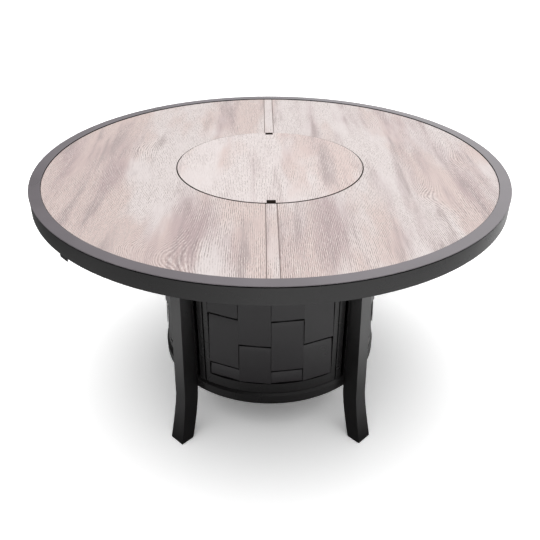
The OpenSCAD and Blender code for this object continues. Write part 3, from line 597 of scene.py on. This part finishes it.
def cut_socket(shape, head):
    """Cuts a hexagon socket in the round outer face of a screw head."""
    middle, out = head.calc_center_median(), head.normal.copy()
    radius = (head.verts[0].co - middle).length
    across = (head.verts[0].co - middle).normalized()
    along = out.cross(across)
    rim = list(head.edges)
    top, low = [], []
    for i in range(SOCKET_SIDES):
        angle = 2 * math.pi * i / SOCKET_SIDES
        corner = middle + SOCKET_R * radius * (math.cos(angle) * across + math.sin(angle) * along)
        top.append(shape.verts.new(corner))
        low.append(shape.verts.new(corner - SOCKET_DEEP * radius * out))
    bmesh.ops.delete(shape, geom=[head], context="FACES_ONLY")
    mouth = [shape.edges.new((top[i], top[(i + 1) % SOCKET_SIDES])) for i in range(SOCKET_SIDES)]
    bmesh.ops.bridge_loops(shape, edges=rim + mouth)
    for i in range(SOCKET_SIDES):
        following = (i + 1) % SOCKET_SIDES
        shape.faces.new((top[i], top[following], low[following], low[i]))
    shape.faces.new(low)


def socket_screws(node):
    """The screws of a node with a socket in each head, in place of the node."""
    shape = shape_of(node)
    heads = [max(group, key=lambda face: face.calc_area()) for group in islands(shape)]
    for head in heads:
        if len(head.verts) > ROUND_CORNERS:
            cut_socket(shape, head)
    bmesh.ops.recalc_face_normals(shape, faces=shape.faces)
    soften(shape, SCREW_EDGE)
    stand_in(shape, node)


for node in SCREWS:
    socket_screws(node)


# Lava rocks

# Lumps and pits per metre, and how much each counts beside an even wear
LAVA_LUMPS = 110.0
LAVA_PITS = 420.0
LUMP_SHARE = 0.6
PIT_SHARE = 0.5
EVEN_SHARE = 0.45
# Depth of the roughness in metres, and how often an edge is cut to show it
LAVA_DEEP = 0.0030
LAVA_CUTS = 2


def lava_bed():
    """Rough lava rocks inside the outline of the CAD rocks, in place of them."""
    shape = shape_of("lava_rocks")
    bmesh.ops.triangulate(shape, faces=shape.faces)
    bmesh.ops.subdivide_edges(shape, edges=shape.edges, cuts=LAVA_CUTS, use_grid_fill=True)
    shape.normal_update()
    moves = []
    for corner in shape.verts:
        lumps = noise.noise(corner.co * LAVA_LUMPS)
        pits = noise.noise(corner.co * LAVA_PITS)
        wear = EVEN_SHARE + LUMP_SHARE * lumps + PIT_SHARE * pits
        moves.append(-corner.normal * LAVA_DEEP * max(0.0, wear))
    for corner, move in zip(shape.verts, moves):
        corner.co += move
    stand_in(shape, "lava_rocks")


lava_bed()


# Grout joints

# How far the grout stops before the ends of a strip, and how far it lies under the tile faces
GROUT_END = 0.002
GROUT_DROP = 0.0012


def block(shape, low, high):
    """Adds a box between two corners to a bmesh."""
    low, high = Vector(low), Vector(high)
    for corner in bmesh.ops.create_cube(shape, size=1.0)["verts"]:
        corner.co = (low + high) / 2 + corner.co * (high - low)


def grout_joints():
    """Grout in the four joints beside the middle strips, a little under the tile faces."""
    shape = bmesh.new()
    tile_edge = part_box("tile_right")[0][0]
    for node in ("strip_front", "strip_back"):
        low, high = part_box(node)
        front, back = low[1] + GROUT_END, high[1] - GROUT_END
        for side in (-1, 1):
            left, right = sorted((side * high[0], side * tile_edge))
            block(shape, (left, front, low[2]), (right, back, high[2] - GROUT_DROP))
    piece("grout_joints", shape, "table", MATS["grout"])


grout_joints()


# Painted shadow at the rim: a dark strip

# Steps in a turn round the table
SHADOW_STRIP_STEPS = 256
# Gap to the edge of the tiles, thickness, and depth under the tile faces
SHADOW_STRIP_GAP = 0.00045
SHADOW_STRIP_T = 0.0008
SHADOW_STRIP_SINK = 0.0012
# Drop of its outer and its inner lip under the top of the rim
SHADOW_STRIP_DROP = 0.0003
SHADOW_STRIP_INNER_DROP = 0.00048


def turned(outline):
    """A closed ring turned about the table's axis from an outline of radius and height, as a bmesh."""
    shape = bmesh.new()
    rows = []
    for i in range(SHADOW_STRIP_STEPS):
        angle = 2 * math.pi * i / SHADOW_STRIP_STEPS
        rows.append([shape.verts.new((r * math.cos(angle), r * math.sin(angle), z)) for r, z in outline])
    for i, row in enumerate(rows):
        next_row = rows[(i + 1) % SHADOW_STRIP_STEPS]
        for j in range(len(outline)):
            following = (j + 1) % len(outline)
            shape.faces.new((row[j], row[following], next_row[following], next_row[j]))
    bmesh.ops.recalc_face_normals(shape, faces=shape.faces)
    return shape


def rim_shadow_strip():
    """A thin dark strip between the edge of the tiles and the wall of the rim cap: painted shadow of the gap
    there.
    """
    tile_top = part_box("tile_left")[1][2]
    rim_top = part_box("rim_cap")[1][2]
    wall_r = -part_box("tile_left")[0][0] + SHADOW_STRIP_GAP
    outline = [(wall_r - SHADOW_STRIP_T, tile_top - SHADOW_STRIP_SINK), (wall_r, tile_top - SHADOW_STRIP_SINK),
               (wall_r, rim_top - SHADOW_STRIP_DROP), (wall_r - SHADOW_STRIP_T, rim_top - SHADOW_STRIP_INNER_DROP)]
    # Black rubber colour on a strip where there is only the shadow of a gap: painted shadow
    piece("rim_shadow_strip", turned(outline), "table", MATS["black_rubber"])


rim_shadow_strip()


# Burner ports

PORTS = 40
PORT_SIDES = 12
# Lean of the two rows of ports from straight up
PORT_LEAN = math.radians(32)
# Radius of a hole's black disc and of its rim, how far each stands out of the tube, and how far both reach
# into it
HOLE_R = 0.0011
RIM_R = 0.0019
HOLE_RISE = 0.00039
RIM_RISE = 0.0003
PORT_SINK = 0.0006
# Radius of the ring's tube, and depth of its middle under the top of the burner
TUBE_R = 0.009
TUBE_DROP = 0.011


def plug(shape, at, out, radius, low, high):
    """Adds a closed round plug to a bmesh: it lies along out from a point, between two distances."""
    across = out.orthogonal().normalized()
    along = out.cross(across)
    foot, top = [], []
    for end, far in ((foot, low), (top, high)):
        for i in range(PORT_SIDES):
            angle = 2 * math.pi * i / PORT_SIDES
            spoke = math.cos(angle) * across + math.sin(angle) * along
            end.append(shape.verts.new(at + far * out + radius * spoke))
    for i in range(PORT_SIDES):
        following = (i + 1) % PORT_SIDES
        shape.faces.new((foot[i], foot[following], top[following], top[i]))
    shape.faces.new(foot[::-1])
    shape.faces.new(top)


def burner_ports():
    """Gas ports in two rows on top of the burner ring: a raised rim round a black disc, painted shade that
    stands for the open hole.
    """
    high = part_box("burner_ring")[1]
    ring_r = high[0] - TUBE_R
    ring_z = high[2] - TUBE_DROP
    rims, holes = bmesh.new(), bmesh.new()
    for i in range(PORTS):
        angle = 2 * math.pi * (i + 0.5) / PORTS
        lean = PORT_LEAN if i % 2 else -PORT_LEAN
        out = Vector((math.cos(angle) * math.sin(lean), math.sin(angle) * math.sin(lean), math.cos(lean)))
        at = Vector((ring_r * math.cos(angle), ring_r * math.sin(angle), ring_z)) + out * TUBE_R
        plug(rims, at, out, RIM_R, -PORT_SINK, RIM_RISE)
        # Each hole is a solid black disc: painted shade of the open hole
        plug(holes, at, out, HOLE_R, -PORT_SINK, HOLE_RISE)
    piece("burner_port_rims", rims, "table", MATS["stainless"])
    piece("burner_port_hole_shades", holes, "table", MATS["painted_hole_shade"])


burner_ports()


# Floor

# Half the width of the floor in metres
FLOOR_HALF = 30
# Paleness and glow of the floor for the camera, and paleness where it only lights the table
FLOOR_SEEN = 1.40
FLOOR_GLOW = 0.12
FLOOR_BOUNCE = 0.50
# Painted shade on the floor, seen only in reflections: it gets brighter from a near to a far distance, which
# counts more along X
GLOSS_NEAR = 0.50
GLOSS_FAR = 1.10
GLOSS_LOW = 0.12
GLOSS_HIGH = 1.15
GLOSS_STRETCH = (1.5, 1, 1)
# It dims towards the left
LEFT_FAR = -1.9
LEFT_DIM = 0.25
# It dims behind the table, in a direction and between two distances
BACK_TOWARD = (-0.5, 1.0, 0)
BACK_NEAR = 0.3
BACK_FAR = 1.25
BACK_DIM = 0.36
# It dims far on the right
RIGHT_NEAR = 1.2
RIGHT_FAR = 2.0
RIGHT_DIM = 0.42


def floor_gloss(nodes):
    """How pale the floor is in reflections, with painted shade: less near the table, to the left, behind and
    far to the right.
    """
    place = nodes.add("ShaderNodeTexCoord").outputs["Object"]
    x = nodes.split(place)[0]
    far = nodes.vector_math("LENGTH", nodes.vector_math("MULTIPLY", place, GLOSS_STRETCH, output="Vector"))
    behind = nodes.vector_math("DOT_PRODUCT", place, BACK_TOWARD)
    near = nodes.span(far, GLOSS_NEAR, GLOSS_FAR, GLOSS_LOW, GLOSS_HIGH)
    left = nodes.span(x, LEFT_FAR, 0.0, LEFT_DIM, 1.0)
    back = nodes.span(behind, BACK_NEAR, BACK_FAR, 1.0, BACK_DIM)
    right = nodes.span(x, RIGHT_NEAR, RIGHT_FAR, 1.0, RIGHT_DIM)
    return nodes.math("MULTIPLY", nodes.math("MULTIPLY", near, left), nodes.math("MULTIPLY", back, right))


def floor_material():
    """Pale floor: bright for the camera, with painted shade in reflections, and dimmer where it only lights
    the table.
    """
    material = bpy.data.materials.new("floor")
    material.use_nodes = True
    nodes = Nodes(material.node_tree)
    path = nodes.add("ShaderNodeLightPath").outputs
    seen = nodes.math("MAXIMUM", path["Is Camera Ray"], path["Is Transmission Ray"])

    def diffuse(level):
        return nodes.add("ShaderNodeBsdfDiffuse", Color=(level, level, level, 1)).outputs[0]

    bright = nodes.add("ShaderNodeAddShader")
    nodes.put(bright, 0, nodes.add("ShaderNodeEmission", Strength=FLOOR_GLOW).outputs[0])
    nodes.put(bright, 1, diffuse(FLOOR_SEEN))
    mirrored = nodes.add("ShaderNodeBsdfDiffuse", Color=floor_gloss(nodes)).outputs[0]
    other = nodes.blend(path["Is Glossy Ray"], diffuse(FLOOR_BOUNCE), mirrored)
    nodes.add("ShaderNodeOutputMaterial", Surface=nodes.blend(seen, other, bright.outputs[0]))
    return material


def add_floor():
    """A wide flat floor under the feet."""
    mesh = bpy.data.meshes.new("floor")
    corners = [(x * FLOOR_HALF, y * FLOOR_HALF, 0) for x, y in ((-1, -1), (1, -1), (1, 1), (-1, 1))]
    mesh.from_pydata(corners, [], [(0, 1, 2, 3)])
    floor = bpy.data.objects.new("floor", mesh)
    scene.collection.objects.link(floor)
    paint(floor, floor_material())


add_floor()


# Light

WORLD_LIGHT = 0.26
# Brightness of the world in reflections on the left and on the right, and the factor for the front
GLOSS_LEFT = 0.05
GLOSS_RIGHT = 1.0
GLOSS_FRONT = 0.40
# Directions along X and Y between which it changes
GLOSS_FROM = -0.5
GLOSS_TO = 0.1
# A weak round lamp behind the table: place, aim and size in metres, power in watts
LAMP_AT = (1.7, 3.4, 2.5)
LAMP_AIM = (0, 0, 0.7)
LAMP_SIZE = 2.6
LAMP_POWER = 4
# Wide soft light from above
SKY_STRENGTH = 2.5
SKY_SPREAD = math.radians(70)
SKY_TOWARD = (0, 0.22, -1)


def add_world():
    """White for the camera, plain for the light, and in reflections brighter on the right and behind."""
    world = bpy.data.worlds.new("world")
    scene.world = world
    world.use_nodes = True
    nodes = Nodes(world.node_tree)
    path = nodes.add("ShaderNodeLightPath").outputs
    x, y = nodes.split(nodes.add("ShaderNodeTexCoord").outputs["Generated"])[:2]
    side = nodes.span(x, GLOSS_FROM, GLOSS_TO, GLOSS_LEFT, GLOSS_RIGHT)
    front = nodes.span(y, GLOSS_FROM, GLOSS_TO, GLOSS_FRONT, 1.0)
    level = nodes.span(path["Is Glossy Ray"], 0, 1, WORLD_LIGHT, nodes.math("MULTIPLY", side, front))
    level = nodes.span(path["Is Camera Ray"], 0, 1, level, 1.0)
    background = nodes.add("ShaderNodeBackground", Color=(1, 1, 1, 1), Strength=level)
    nodes.add("ShaderNodeOutputWorld", Surface=background.outputs[0])


def add_light(name, kind, toward, at=(0, 0, 0)):
    """A light that shines along a direction."""
    light = bpy.data.objects.new(name, bpy.data.lights.new(name, kind))
    scene.collection.objects.link(light)
    light.location = at
    light.rotation_mode = "QUATERNION"
    light.rotation_quaternion = Vector(toward).to_track_quat("-Z", "Y")
    return light


def add_lamps():
    """The lamp behind the table, and the sky, which shows in no reflection."""
    lamp = add_light("back", "AREA", Vector(LAMP_AIM) - Vector(LAMP_AT), LAMP_AT)
    lamp.data.shape = "DISK"
    lamp.data.size = LAMP_SIZE
    lamp.data.energy = LAMP_POWER
    sky = add_light("sky", "SUN", SKY_TOWARD)
    sky.data.energy = SKY_STRENGTH
    sky.data.angle = SKY_SPREAD
    sky.visible_glossy = False


add_world()
add_lamps()
scene.view_settings.view_transform = "Standard"
